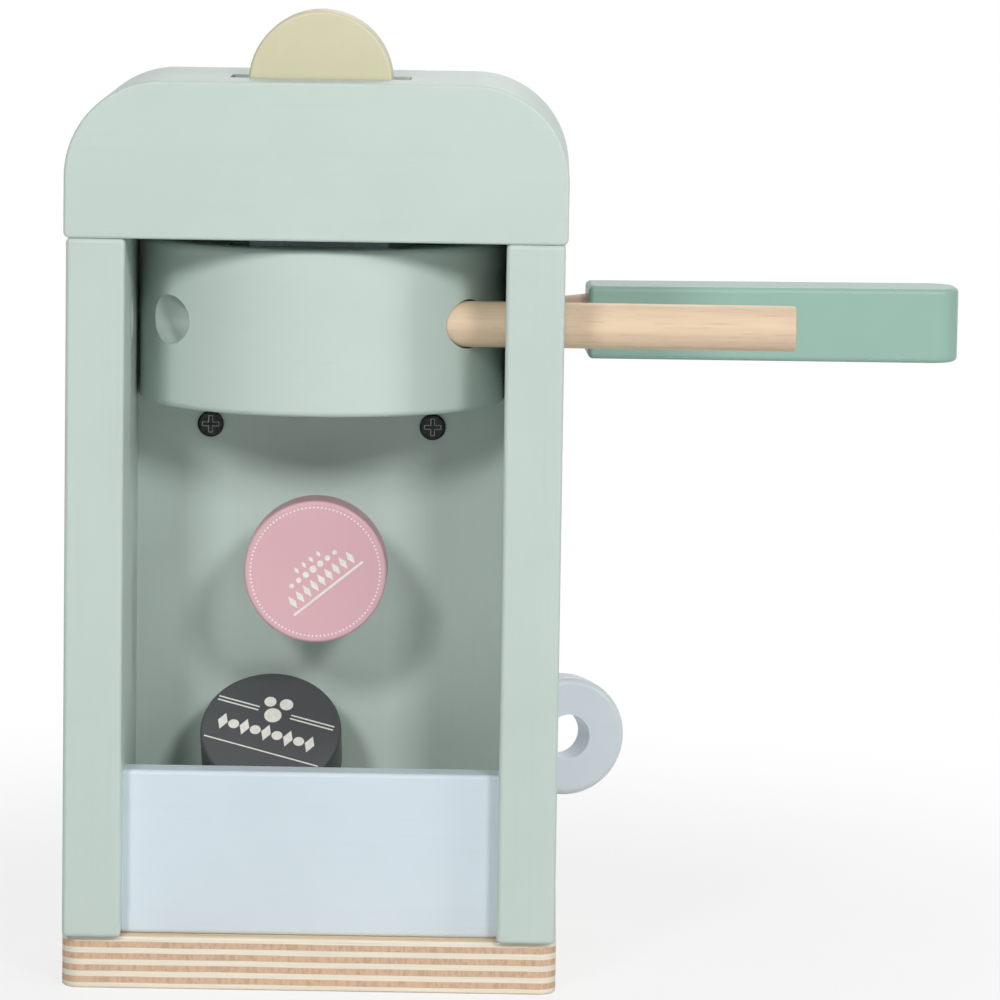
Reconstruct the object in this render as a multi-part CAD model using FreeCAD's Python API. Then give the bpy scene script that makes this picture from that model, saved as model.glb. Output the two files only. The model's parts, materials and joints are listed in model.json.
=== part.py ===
import FreeCAD, Part
import math
import os

# Toy coffee maker in wood, in millimetres.
# X runs to the right of the open pod side, Y from the pod side to the cup side, Z up.
# The origin is the middle of the underside of the base board.
V = FreeCAD.Vector
X_AXIS = V(1, 0, 0)
Y_AXIS = V(0, 1, 0)
Z_AXIS = V(0, 0, 1)
COS_45 = math.cos(math.radians(45))

# Base board, plywood
base_width = 129.4
base_depth = 140.0
base_thick = 14.0
base_front_corner = 40.0
base_rear_corner = 5.0
base_edge_round = 0.8

# Body: two side panels, a wall between them and a block on top
body_width = 128.6
body_depth = 70.0
body_overhang = 3.0
panel_thick = 15.2
panel_height = 182.8
wall_thick = 13.0
board_edge_round = 1.2
top_width = 130.0
top_height = 40.8
top_corner = 25.0
top_low_corner = 1.6
top_edge_round = 0.8

# Pods, and the slot and chute that they drop through
pod_diameter = 37.5
pod_thick = 13.6
pod_edge_round = 0.9
pod_side_play = 4.75
pod_face_play = 1.0
slot_corner = 1.0
slot_from_rear = 28.0
rest_gap = 0.3

# Half-round chute block on the pod side of the wall
chute_radius = 48.8
chute_height = 43.4
chute_top_gap = 3.0
round_block_edge = 1.6

# Release rod, and the holes that it slides in
rod_diameter = 12.0
rod_length = 150.0
rod_out = 60.7
rod_height = 173.6
rod_end_round = 0.7
rod_hole_play = 0.5

# Bin board
bin_setback = 7.0
bin_thick = 10.0
bin_height = 43.3

# Fork plate that carries the filter holder, and the brew head over it
fork_radius = 48.8
fork_thick = 20.0
fork_bottom = 133.0
fork_reach = 30.0
fork_play = 0.6
head_radius = 44.0
head_height = 30.0
head_gap = 1.6

# Filter holder: head, neck and grip, turned on the fork
holder_turn = 2.6
hub_plug_diameter = 42.0
hub_plug_depth = 13.0
hub_plug_taper = 2.0
hub_rim_diameter = 58.0
hub_rim_height = 26.0
hub_edge_round = 2.0
neck_diameter = 12.6
neck_flare = 0.8
neck_flare_length = 9.0
neck_axis_height = 168.3
neck_seat_depth = 4.0
neck_flare_bow = 0.3
tenon_diameter = 8.0
tenon_length = 18.0
grip_start = 70.8
grip_length = 102.0
grip_height_near = 20.0
grip_height_far = 20.5
grip_depth = 20.0
grip_end_corner = 8.0
grip_edge_round = 1.5

# Cup with a ring handle
cup_top_radius = 34.0
cup_foot_radius = 27.0
cup_height = 62.0
cup_wall = 5.0
cup_floor = 6.0
cup_rim_round = 2.0
cup_side_shift = 23.3
cup_from_body = 35.6
cup_ring_diameter = 33.2
cup_ring_hole = 12.5
cup_ring_thick = 11.0
cup_ring_height = 36.4
cup_ring_sink = 3.0
cup_ring_round = 2.2
glue_gap = 0.04
cup_turn = 17.0

# Pods on show: one is falling, two lie flat in the bin and one leans back on them
drop_height = 108.3
bin_lean = 45.0
flat_lean = 90.0
bin_pod_side_shift = -11.8
bin_pod_skew = 1.2
bin_pod_gap = 0.15

# Screws and dowels
screw_head_diameter = 7.0
screw_head_proud = 1.1
screw_head_round = 0.6
screw_core_diameter = 4.0
screw_length = 30.0
wall_screw_spacing = 59.4
wall_screw_height = 143.0
cross_width = 1.0
cross_length = 4.4
cross_depth = 0.7
base_screw_head = 8.0
base_screw_sink = 2.2
base_screw_recess = 5.0
base_screw_inset = 22.0
top_dowel_diameter = 8.0
top_dowel_length = 30.0
small_dowel_diameter = 6.0
small_dowel_length = 18.0
dowel_play = 0.05
dowel_end_gap = 0.5
dowel_inset = 16.0
bin_dowel_rows = (0.28, 0.72)
screw_hole_play = 0.1
hole_spare = 1.0

# Places that follow from the sizes
base_rear = -base_depth / 2
body_rear = base_rear - body_overhang
body_front = body_rear + body_depth
panel_bottom = base_thick
panel_top = panel_bottom + panel_height
total_height = panel_top + top_height
inner_half = body_width / 2 - panel_thick
panel_mid = body_width / 2 - panel_thick / 2
wall_rear = body_front - wall_thick
wall_mid = body_front - wall_thick / 2
pod_y = body_rear + slot_from_rear
pod_radius = pod_diameter / 2
slot_length = pod_diameter + 2 * pod_side_play
slot_width = pod_thick + 2 * pod_face_play
chute_top = panel_top - chute_top_gap
chute_bottom = chute_top - chute_height
rod_radius = rod_diameter / 2
rod_hole_radius = rod_radius + rod_hole_play
rod_right_end = body_width / 2 + rod_out
hub_y = body_front + fork_reach
fork_top = fork_bottom + fork_thick
fork_slot_radius = hub_plug_diameter / 2 + fork_play
hub_top = fork_top + hub_rim_height
head_bottom = hub_top + head_gap
cup_x = cup_side_shift
cup_y = body_front + cup_from_body


def box(x0, x1, y0, y1, z0, z1):
    """Block between two corners."""
    return Part.makeBox(x1 - x0, y1 - y0, z1 - z0, V(x0, y0, z0))


def rod(radius, length, start, axis):
    """Round bar from a point along an axis."""
    return Part.makeCylinder(radius, length, start, axis)


def rounded_outline(width, y0, y1, corner_y0, corner_y1):
    """Closed plan outline, the same to the left and right, with its corners rounded."""
    half = width / 2
    c0, c1 = corner_y0, corner_y1
    s0, s1 = c0 * COS_45, c1 * COS_45
    edges = [
        Part.LineSegment(V(-half + c0, y0, 0), V(half - c0, y0, 0)),
        Part.Arc(V(half - c0, y0, 0), V(half - c0 + s0, y0 + c0 - s0, 0), V(half, y0 + c0, 0)),
        Part.LineSegment(V(half, y0 + c0, 0), V(half, y1 - c1, 0)),
        Part.Arc(V(half, y1 - c1, 0), V(half - c1 + s1, y1 - c1 + s1, 0), V(half - c1, y1, 0)),
        Part.LineSegment(V(half - c1, y1, 0), V(-half + c1, y1, 0)),
        Part.Arc(V(-half + c1, y1, 0), V(-half + c1 - s1, y1 - c1 + s1, 0), V(-half, y1 - c1, 0)),
        Part.LineSegment(V(-half, y1 - c1, 0), V(-half, y0 + c0, 0)),
        Part.Arc(V(-half, y0 + c0, 0), V(-half + c0 - s0, y0 + c0 - s0, 0), V(-half + c0, y0, 0)),
    ]
    return Part.Wire([edge.toShape() for edge in edges])


def turned(profile, place):
    """Solid of revolution about Z from a list of straight and arc profile edges."""
    face = Part.Face(Part.Wire([edge.toShape() for edge in profile]))
    solid = face.revolve(V(0, 0, 0), Z_AXIS, 360)
    solid.translate(place)
    return solid


def straight_run(points):
    """Closed half section in the XZ plane through a list of (radius, height) points."""
    corners = [V(radius, 0, height) for radius, height in points]
    ends = corners[1:] + corners[:1]
    return [Part.LineSegment(a, b) for a, b in zip(corners, ends)]


def half_disc(radius, height, centre_y, z0, toward):
    """Half-round block with its flat side at centre_y; toward is +1 or -1 along Y."""
    ends = [V(-radius, centre_y, z0), V(radius, centre_y, z0)]
    middle = V(0, centre_y + toward * radius, z0)
    wire = Part.Wire([Part.Arc(ends[0], middle, ends[1]).toShape(), Part.makeLine(ends[1], ends[0])])
    return Part.Face(wire).extrude(V(0, 0, height))


def round_edges(solid, radius, keep):
    """Round the edges that a test picks."""
    picked = [edge for edge in solid.Edges if keep(edge)]
    return solid.makeFillet(radius, picked)


def at_level(edge, axis, value):
    """True where the whole edge lies in the plane axis = value."""
    low = getattr(edge.BoundBox, axis + "Min")
    high = getattr(edge.BoundBox, axis + "Max")
    return abs(low - value) < 1e-4 and abs(high - value) < 1e-4


def slot_cutter(z0, z1):
    """Upright slot that a pod drops through."""
    half_x, half_y = slot_length / 2, slot_width / 2
    block = box(-half_x, half_x, pod_y - half_y, pod_y + half_y, z0, z1)
    upright = [edge for edge in block.Edges if edge.BoundBox.ZLength > (z1 - z0) / 2]
    return block.makeFillet(slot_corner, upright)


def cut_all(solid, tools):
    """Cut every tool in a list out of a solid."""
    for tool in tools:
        solid = solid.cut(tool)
    return solid


def bars(diameter, length, starts, axis, play):
    """Dowels from their starting points, or the holes for them where play is given."""
    spare = dowel_end_gap if play else 0.0
    radius = diameter / 2 + play
    return [rod(radius, length + 2 * spare, start - axis * spare, axis) for start in starts]


def top_dowels(play=0.0):
    """Dowels between the panels and the top block."""
    rows = (body_rear + dowel_inset, body_front - dowel_inset)
    z = panel_top - top_dowel_length / 2
    starts = [V(side * panel_mid, y, z) for side in (-1, 1) for y in rows]
    return bars(top_dowel_diameter, top_dowel_length, starts, Z_AXIS, play)


def bin_dowels(play=0.0):
    """Dowels between the bin board and the panels."""
    y = body_rear + bin_setback + bin_thick / 2
    half = small_dowel_length / 2
    rows = [base_thick + bin_height * share for share in bin_dowel_rows]
    starts = [V(side * inner_half - half, y, z) for side in (-1, 1) for z in rows]
    return bars(small_dowel_diameter, small_dowel_length, starts, X_AXIS, play)


def pair_of_dowels(joint_y, z, play):
    """Two small dowels along Y, half on each side of a joint."""
    y = joint_y - small_dowel_length / 2
    starts = [V(side * dowel_inset, y, z) for side in (-1, 1)]
    return bars(small_dowel_diameter, small_dowel_length, starts, Y_AXIS, play)


def chute_dowels(play=0.0):
    """Dowels between the wall and the chute block."""
    return pair_of_dowels(wall_rear, chute_bottom + chute_height / 2, play)


def head_dowels(play=0.0):
    """Dowels between the top block and the brew head."""
    return pair_of_dowels(body_front, panel_top + (head_bottom + head_height - panel_top) / 2, play)


def wall_screw_places():
    """Points on the pod side of the wall where the screw heads sit."""
    half = wall_screw_spacing / 2
    return [V(side * half, wall_rear, wall_screw_height) for side in (-1, 1)]


def base_screw_places():
    """Points on the underside under the middle of each panel and of the wall."""
    rows = (body_rear + base_screw_inset, body_front - base_screw_inset)
    under_panels = [V(side * panel_mid, y, 0) for side in (-1, 1) for y in rows]
    under_wall = [V(side * base_screw_inset, wall_mid, 0) for side in (-1, 1)]
    return under_panels + under_wall


def wall_screw_holes():
    """Holes through the wall and into the fork plate."""
    radius = screw_core_diameter / 2 + screw_hole_play
    return [rod(radius, screw_length + hole_spare, place, Y_AXIS) for place in wall_screw_places()]


def base_screw_holes():
    """Sunk holes through the base and into what stands on it."""
    core, head = screw_core_diameter / 2 + screw_hole_play, base_screw_head / 2 + screw_hole_play
    seat = base_screw_recess - base_screw_sink
    holes = []
    for place in base_screw_places():
        holes.append(rod(core, screw_length + hole_spare, place, Z_AXIS))
        holes.append(rod(head, seat, place, Z_AXIS))
        holes.append(Part.makeCone(head, core, base_screw_sink, V(place.x, place.y, seat), Z_AXIS))
    return holes


def rod_holes(solid):
    """Bore a solid for the release rod."""
    start = V(-body_width, pod_y, rod_height)
    return solid.cut(rod(rod_hole_radius, 2 * body_width, start, X_AXIS))


def make_base_board():
    outline = rounded_outline(base_width, base_rear, -base_rear, base_rear_corner, base_front_corner)
    board = Part.Face(outline).extrude(V(0, 0, base_thick))
    board = round_edges(
        board, base_edge_round, lambda e: at_level(e, "Z", 0) or at_level(e, "Z", base_thick))
    return cut_all(board, base_screw_holes())


def make_side_panel(side):
    inner, outer = side * inner_half, side * body_width / 2
    panel = box(min(inner, outer), max(inner, outer), body_rear, body_front, panel_bottom, panel_top)
    panel = panel.makeFillet(board_edge_round, panel.Edges)
    panel = rod_holes(panel)
    return cut_all(panel, top_dowels(dowel_play) + bin_dowels(dowel_play) + base_screw_holes())


def make_top_block():
    half, low, high = top_width / 2, panel_top, total_height
    r, s = top_corner, top_low_corner
    k = 1 - COS_45
    y = body_rear
    edges = [
        Part.LineSegment(V(-half + s, y, low), V(half - s, y, low)),
        Part.Arc(V(half - s, y, low), V(half - s * k, y, low + s * k), V(half, y, low + s)),
        Part.LineSegment(V(half, y, low + s), V(half, y, high - r)),
        Part.Arc(V(half, y, high - r), V(half - r * k, y, high - r * k), V(half - r, y, high)),
        Part.LineSegment(V(half - r, y, high), V(-half + r, y, high)),
        Part.Arc(V(-half + r, y, high), V(-half + r * k, y, high - r * k), V(-half, y, high - r)),
        Part.LineSegment(V(-half, y, high - r), V(-half, y, low + s)),
        Part.Arc(V(-half, y, low + s), V(-half + s * k, y, low + s * k), V(-half + s, y, low)),
    ]
    wire = Part.Wire([edge.toShape() for edge in edges])
    block = Part.Face(wire).extrude(V(0, body_depth, 0))
    block = round_edges(
        block, top_edge_round, lambda e: at_level(e, "Y", body_rear) or at_level(e, "Y", body_front))
    block = block.cut(slot_cutter(low - 1, high + 1))
    return cut_all(block, top_dowels(dowel_play) + head_dowels(dowel_play))


def make_divider_wall():
    wall = box(-inner_half, inner_half, wall_rear, body_front, panel_bottom, panel_top)
    return cut_all(wall, wall_screw_holes() + chute_dowels(dowel_play) + base_screw_holes())


def make_chute_block():
    block = half_disc(chute_radius, chute_height, wall_rear, chute_bottom, -1)
    levels = (chute_bottom, chute_top)
    block = round_edges(
        block, round_block_edge,
        lambda e: any(at_level(e, "Z", z) for z in levels) and e.BoundBox.YLength > 1)
    block = block.cut(slot_cutter(chute_bottom - 1, chute_top + 1))
    return cut_all(rod_holes(block), chute_dowels(dowel_play))


def make_bin_board():
    y0 = body_rear + bin_setback
    board = box(-inner_half, inner_half, y0, y0 + bin_thick, base_thick, base_thick + bin_height)
    board = round_edges(board, board_edge_round, lambda e: e.BoundBox.XLength > inner_half)
    return cut_all(board, bin_dowels(dowel_play))


def make_release_rod():
    bar = rod(rod_radius, rod_length, V(rod_right_end - rod_length, pod_y, rod_height), X_AXIS)
    return bar.makeFillet(rod_end_round, [e for e in bar.Edges if e.BoundBox.XLength < 1e-4])


def make_fork_plate():
    plate = half_disc(fork_radius, fork_thick, body_front, fork_bottom, 1)
    reach = 2 * fork_radius
    bay = rod(fork_slot_radius, fork_thick + 2, V(0, hub_y, fork_bottom - 1), Z_AXIS)
    way = box(-fork_slot_radius, fork_slot_radius, hub_y, hub_y + reach, fork_bottom - 1, fork_top + 1)
    plate = plate.cut(bay.fuse(way).removeSplitter())
    plate = round_edges(
        plate, round_block_edge,
        lambda e: (at_level(e, "Z", fork_bottom) or at_level(e, "Z", fork_top))
        and not at_level(e, "Y", body_front))
    return cut_all(plate, wall_screw_holes())


def make_brew_head():
    head = half_disc(head_radius, head_height, body_front, head_bottom, 1)
    top = head_bottom + head_height
    head = round_edges(
        head, round_block_edge,
        lambda e: (at_level(e, "Z", head_bottom) or at_level(e, "Z", top)) and e.BoundBox.YLength > 1)
    return cut_all(head, head_dowels(dowel_play))


def turn_holder(solid):
    """Take a piece that lies along X to the middle of the hub and turn it with the holder."""
    solid.translate(V(0, hub_y, neck_axis_height))
    solid.rotate(V(0, hub_y, 0), Z_AXIS, holder_turn)
    return solid


def along_holder(solid):
    """Lay a piece that was turned about Z along the arm of the filter holder."""
    solid.rotate(V(0, 0, 0), Y_AXIS, 90)
    return turn_holder(solid)


def make_holder_hub():
    plug, rim = hub_plug_diameter / 2, hub_rim_diameter / 2
    low = fork_top - hub_plug_depth
    seat = fork_top + rest_gap / 3
    profile = straight_run([
        (0, low), (plug - hub_plug_taper, low), (plug, low + 2 * hub_plug_taper),
        (plug, seat), (rim, seat), (rim, hub_top), (0, hub_top)])
    hub = turned(profile, V(0, hub_y, 0))
    hub = round_edges(
        hub, hub_edge_round,
        lambda e: e.BoundBox.XLength > 1.9 * rim and (at_level(e, "Z", hub_top) or at_level(e, "Z", seat)))
    tenon_end = V(0, 0, rim - tenon_length - dowel_end_gap)
    tenon_bore = rod(tenon_diameter / 2 + dowel_play, rim, tenon_end, Z_AXIS)
    neck_bore = rod(neck_diameter / 2 + dowel_play, rim, V(0, 0, rim - neck_seat_depth), Z_AXIS)
    return cut_all(hub, [along_holder(tenon_bore), along_holder(neck_bore)])


def make_holder_neck():
    r, wide = neck_diameter / 2, neck_diameter / 2 + neck_flare
    tenon = tenon_diameter / 2
    start, end = hub_rim_diameter / 2 - neck_seat_depth + dowel_play, grip_start
    tail, tip = start + neck_seat_depth - tenon_length, end + tenon_length
    bow_start, bow_middle = end - neck_flare_length, end - neck_flare_length / 2
    edges = [
        Part.LineSegment(V(0, 0, tail), V(tenon, 0, tail)),
        Part.LineSegment(V(tenon, 0, tail), V(tenon, 0, start)),
        Part.LineSegment(V(tenon, 0, start), V(r, 0, start)),
        Part.LineSegment(V(r, 0, start), V(r, 0, bow_start)),
        Part.Arc(V(r, 0, bow_start), V(r + neck_flare * neck_flare_bow, 0, bow_middle), V(wide, 0, end)),
        Part.LineSegment(V(wide, 0, end), V(tenon, 0, end)),
        Part.LineSegment(V(tenon, 0, end), V(tenon, 0, tip)),
        Part.LineSegment(V(tenon, 0, tip), V(0, 0, tip)),
        Part.LineSegment(V(0, 0, tip), V(0, 0, tail)),
    ]
    return along_holder(turned(edges, V(0, 0, 0)))


def make_holder_grip():
    """Square bar whose far end is rounded in plan."""
    near, far = grip_height_near / 2, grip_height_far / 2
    start, end, back = grip_start, grip_start + grip_length, -grip_depth / 2
    corners = [V(start, back, -near), V(end, back, -far), V(end, back, far), V(start, back, near)]
    bar = Part.Face(Part.makePolygon(corners + corners[:1])).extrude(V(0, grip_depth, 0))
    bar = round_edges(bar, grip_end_corner, lambda e: at_level(e, "X", end) and e.BoundBox.ZLength > far)
    bar = round_edges(
        bar, grip_edge_round,
        lambda e: at_level(e, "X", start) or (e.BoundBox.ZLength < far and e.BoundBox.XLength > 1))
    bore = rod(tenon_diameter / 2 + dowel_play, tenon_length + dowel_end_gap, V(start, 0, 0), X_AXIS)
    return turn_holder(bar.cut(bore))


def cup_profile():
    """Half section of the cup, from the middle of its foot round to the middle of its floor."""
    top, foot, high = cup_top_radius, cup_foot_radius, cup_height
    slope = (top - foot) / high
    inner_top = top - cup_wall
    inner_floor = foot + slope * cup_floor - cup_wall
    return straight_run([
        (0, 0), (foot, 0), (top, high), (inner_top, high), (inner_floor, cup_floor), (0, cup_floor)])


def make_cup_body():
    cup = turned(cup_profile(), V(cup_x, cup_y, base_thick))
    top = base_thick + cup_height
    cup = round_edges(cup, cup_rim_round, lambda e: at_level(e, "Z", top) and e.BoundBox.XLength > 1)
    return round_edges(
        cup, cup_rim_round / 2,
        lambda e: at_level(e, "Z", base_thick) and e.BoundBox.XLength > cup_foot_radius)


def make_cup_handle():
    side = cup_foot_radius + (cup_top_radius - cup_foot_radius) * cup_ring_height / cup_height
    reach = side + cup_ring_diameter / 2 - cup_ring_sink
    place = V(reach, cup_ring_thick / 2, cup_ring_height)
    ring = rod(cup_ring_diameter / 2, cup_ring_thick, place, V(0, -1, 0))
    ring = ring.makeFillet(cup_ring_round, [e for e in ring.Edges if e.BoundBox.YLength < 1e-4])
    ring = ring.cut(rod(cup_ring_hole / 2, cup_ring_thick, place, V(0, -1, 0)))
    foot, top = cup_foot_radius + glue_gap, cup_top_radius + glue_gap
    solid_cup = Part.makeCone(foot, top, cup_height, V(0, 0, 0), Z_AXIS)
    ring = ring.cut(solid_cup)
    ring.rotate(V(0, 0, 0), Z_AXIS, cup_turn)
    ring.translate(V(cup_x, cup_y, base_thick))
    return ring


def make_pod(place, lean=0.0):
    """Pod that stands on its edge with its middle at place, its top leaning toward the wall."""
    start = V(place.x, place.y - pod_thick / 2, place.z)
    pod = rod(pod_radius, pod_thick, start, Y_AXIS)
    pod = pod.makeFillet(pod_edge_round, [e for e in pod.Edges if e.BoundBox.YLength < 1e-4])
    pod.rotate(place, X_AXIS, -lean)
    return pod


def chute_pod_places():
    """The pod that waits on the rod, and the one that stands on it in the slot."""
    waiting = rod_height + rod_radius + rest_gap + pod_radius
    return V(0, pod_y, waiting), V(0, pod_y, waiting + pod_diameter + rest_gap)


def bin_pod_places():
    """Two pods flat on one another in the bin, and one that leans back on them and on the wall."""
    lean = math.radians(bin_lean)
    low_z = base_thick + bin_pod_gap + pod_thick / 2
    mid_z = low_z + pod_thick + bin_pod_gap
    flat_y = (wall_rear + body_rear + bin_setback + bin_thick) / 2
    core_radius, core_half = pod_radius - pod_edge_round, pod_thick / 2 - pod_edge_round
    back = core_radius * math.sin(lean) + core_half * math.cos(lean) + pod_edge_round
    down = core_radius * math.cos(lean) + core_half * math.sin(lean) + pod_edge_round
    top_z = mid_z + pod_thick / 2 + bin_pod_gap + down
    low = V(bin_pod_side_shift + bin_pod_skew, flat_y, low_z)
    mid = V(bin_pod_side_shift - bin_pod_skew, flat_y, mid_z)
    return low, mid, V(bin_pod_side_shift, wall_rear - rest_gap - back, top_z)


def cross_recess(place, head_depth):
    """Cross cut in a screw head that faces -Y."""
    half, arm = cross_length / 2, cross_width / 2
    y0, y1 = place.y - head_depth - 0.01, place.y - head_depth + cross_depth
    flat = box(place.x - half, place.x + half, y0, y1, place.z - arm, place.z + arm)
    tall = box(place.x - arm, place.x + arm, y0, y1, place.z - half, place.z + half)
    return flat.fuse(tall)


def make_wall_screws():
    """Pan-head screws through the wall into the fork plate."""
    screws = []
    for place in wall_screw_places():
        crown = place.y - screw_head_proud
        head = rod(screw_head_diameter / 2, screw_head_proud, V(place.x, crown, place.z), Y_AXIS)
        head = round_edges(head, screw_head_round, lambda e: at_level(e, "Y", crown))
        shank = rod(screw_core_diameter / 2, screw_length, place, Y_AXIS)
        screws.append(head.fuse(shank).removeSplitter().cut(cross_recess(place, screw_head_proud)))
    return Part.makeCompound(screws)


def make_base_screws():
    """Countersunk screws through the base into the panels and the wall."""
    screws = []
    for place in base_screw_places():
        seat = V(place.x, place.y, base_screw_recess)
        under = V(place.x, place.y, base_screw_recess - base_screw_sink)
        head = Part.makeCone(base_screw_head / 2, screw_core_diameter / 2, base_screw_sink, under, Z_AXIS)
        shank = rod(screw_core_diameter / 2, screw_length - base_screw_recess, seat, Z_AXIS)
        screws.append(head.fuse(shank).removeSplitter())
    return Part.makeCompound(screws)


def make_all():
    """Every piece by its name."""
    waiting, in_slot = chute_pod_places()
    bin_low, bin_mid, bin_top = bin_pod_places()
    return {
        "base_board": make_base_board(),
        "side_panel_left": make_side_panel(-1),
        "side_panel_right": make_side_panel(1),
        "top_block": make_top_block(),
        "divider_wall": make_divider_wall(),
        "chute_block": make_chute_block(),
        "bin_board": make_bin_board(),
        "fork_plate": make_fork_plate(),
        "brew_head": make_brew_head(),
        "wall_screws": make_wall_screws(),
        "base_screws": make_base_screws(),
        "top_dowels": Part.makeCompound(top_dowels()),
        "bin_dowels": Part.makeCompound(bin_dowels()),
        "chute_dowels": Part.makeCompound(chute_dowels()),
        "head_dowels": Part.makeCompound(head_dowels()),
        "release_rod": make_release_rod(),
        "holder_hub": make_holder_hub(),
        "holder_neck": make_holder_neck(),
        "holder_grip": make_holder_grip(),
        "cup_body": make_cup_body(),
        "cup_handle": make_cup_handle(),
        "pod_waiting": make_pod(waiting),
        "pod_in_slot": make_pod(in_slot),
        "pod_falling": make_pod(V(0, pod_y, drop_height)),
        "pod_bin_low": make_pod(bin_low, flat_lean),
        "pod_bin_mid": make_pod(bin_mid, flat_lean),
        "pod_bin_top": make_pod(bin_top, bin_lean),
    }


def main():
    os.makedirs("parts", exist_ok=True)
    for name, shape in make_all().items():
        if not shape.isValid():
            raise ValueError(name + " is not a valid shape")
        shape.exportStep(os.path.join("parts", name + ".step"))


main()
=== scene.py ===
"""Toy coffee maker in painted wood: finishes, printed pods, camera and studio.

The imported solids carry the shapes.  This script dresses each of them, prints
the faces of the pods, and sets the camera and the lamps.  Lengths are in
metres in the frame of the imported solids: X to the right of the open pod side,
Y from the pod side to the cup side, Z up from the underside of the base.
"""

import json
import logging
import math
from dataclasses import dataclass, field
from enum import Enum
from typing import Any, Callable, Protocol, Sequence

import bpy
from mathutils import Matrix, Vector

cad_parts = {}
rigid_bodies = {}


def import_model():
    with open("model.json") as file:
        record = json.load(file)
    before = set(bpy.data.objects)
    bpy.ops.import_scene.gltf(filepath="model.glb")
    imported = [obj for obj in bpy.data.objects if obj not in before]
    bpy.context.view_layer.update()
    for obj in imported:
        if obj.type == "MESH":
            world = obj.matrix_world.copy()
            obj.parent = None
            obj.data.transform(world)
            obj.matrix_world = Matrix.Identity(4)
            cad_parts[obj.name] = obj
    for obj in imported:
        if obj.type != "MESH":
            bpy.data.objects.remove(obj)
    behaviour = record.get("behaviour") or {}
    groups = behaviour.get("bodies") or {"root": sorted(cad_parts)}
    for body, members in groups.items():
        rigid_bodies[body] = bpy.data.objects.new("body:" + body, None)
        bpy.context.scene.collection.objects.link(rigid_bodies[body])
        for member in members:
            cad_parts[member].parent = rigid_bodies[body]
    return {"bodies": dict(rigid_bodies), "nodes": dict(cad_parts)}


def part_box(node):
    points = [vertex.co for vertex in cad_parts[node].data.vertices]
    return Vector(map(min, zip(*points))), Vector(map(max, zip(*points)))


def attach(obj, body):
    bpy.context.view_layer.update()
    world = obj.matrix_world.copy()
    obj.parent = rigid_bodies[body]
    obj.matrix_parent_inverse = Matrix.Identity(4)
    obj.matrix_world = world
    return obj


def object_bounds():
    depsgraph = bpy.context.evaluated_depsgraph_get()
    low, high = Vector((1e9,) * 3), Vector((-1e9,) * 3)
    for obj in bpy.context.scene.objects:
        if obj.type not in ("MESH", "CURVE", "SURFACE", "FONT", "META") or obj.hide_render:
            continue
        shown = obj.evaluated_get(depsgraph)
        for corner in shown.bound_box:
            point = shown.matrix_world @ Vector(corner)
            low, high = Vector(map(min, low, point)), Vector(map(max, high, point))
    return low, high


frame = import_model()
CAD_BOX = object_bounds()

LOG = logging.getLogger("coffee_maker")
MM = 0.001
SENSOR_WIDTH = 36.0
Colour = tuple[float, float, float]
Linear = tuple[float, float, float, float]
Point = tuple[float, float]
Outline = list[Point]
Socket = bpy.types.NodeSocket
WHITE: Linear = (1.0, 1.0, 1.0, 1.0)
MIDDLE = (0.3, 0.7)


class Fibres(Enum):
    """Direction that the fibres of a piece of wood run in."""

    ACROSS = (1.0, 0.0, 0.0)
    UPRIGHT = (0.0, 0.0, 1.0)


class Motif(Enum):
    """Plain pattern printed in the middle of a pod's face."""

    LOZENGE_ROW = "lozenge row"
    DOTS_AND_RULES = "dots and rules"
    THREE_RULES = "three rules"


def linear(colour: Sequence[float], share: float = 1.0) -> Linear:
    """Turn a display colour into the linear colour that a shader takes.

    Args:
        colour: Red, green and blue from 0 to 255 as they look on a display.
        share: How much lighter or darker than that the result is.

    Returns:
        The linear colour with an alpha of one.
    """
    parts = [min(255.0, value * share) / 255.0 for value in colour]
    straight = [v / 12.92 if v <= 0.04045 else ((v + 0.055) / 1.055) ** 2.4 for v in parts]
    return (straight[0], straight[1], straight[2], 1.0)


@dataclass(frozen=True)
class Speckle:
    """Noise of one size in every direction.

    Attributes:
        scale: Cells a metre.
        detail: Number of finer layers.
        rough: How strongly the finer layers show.
    """

    scale: float
    detail: float = 2.0
    rough: float = 0.5


@dataclass(frozen=True)
class Grain:
    """Noise drawn out along the fibres.

    Attributes:
        across: Cells a metre across the fibres.
        lengthways: Cells a metre along them.
        detail: Number of finer layers.
        rough: How strongly the finer layers show.
    """

    across: float
    lengthways: float
    detail: float = 2.0
    rough: float = 0.5


class TreeSketch:
    """A shader tree, with short calls that add a node and wire it."""

    def __init__(self, tree: bpy.types.NodeTree) -> None:
        """Empty the tree.

        Args:
            tree: The tree of a material or of the surround.
        """
        self.tree = tree
        self.tree.nodes.clear()

    def node(self, kind: str, inputs: dict[Any, Any] | None = None,
             **settings: Any) -> bpy.types.Node:
        """Add a node.

        Args:
            kind: Blender's name of the node type.
            inputs: Values or sockets by input name or index.
            settings: Properties set on the node itself.

        Returns:
            The new node.
        """
        made = self.tree.nodes.new(kind)
        for key, value in settings.items():
            setattr(made, key, value)
        for key, value in (inputs or {}).items():
            if isinstance(value, bpy.types.NodeSocket):
                self.tree.links.new(value, made.inputs[key])
            else:
                made.inputs[key].default_value = value
        return made

    def maths(self, operation: str, first: Any, second: Any = 0.0, third: Any = 0.0) -> Socket:
        """Return the result of a Math node."""
        inputs = {0: first, 1: second, 2: third}
        return self.node("ShaderNodeMath", inputs, operation=operation).outputs[0]

    def seen(self) -> Socket:
        """Return 1 for the rays that look at the surround, straight or by a mirror or glass."""
        rays = self.node("ShaderNodeLightPath").outputs
        look = self.maths("MAXIMUM", rays["Is Camera Ray"], rays["Is Glossy Ray"])
        return self.maths("MAXIMUM", look, rays["Is Transmission Ray"])


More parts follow.
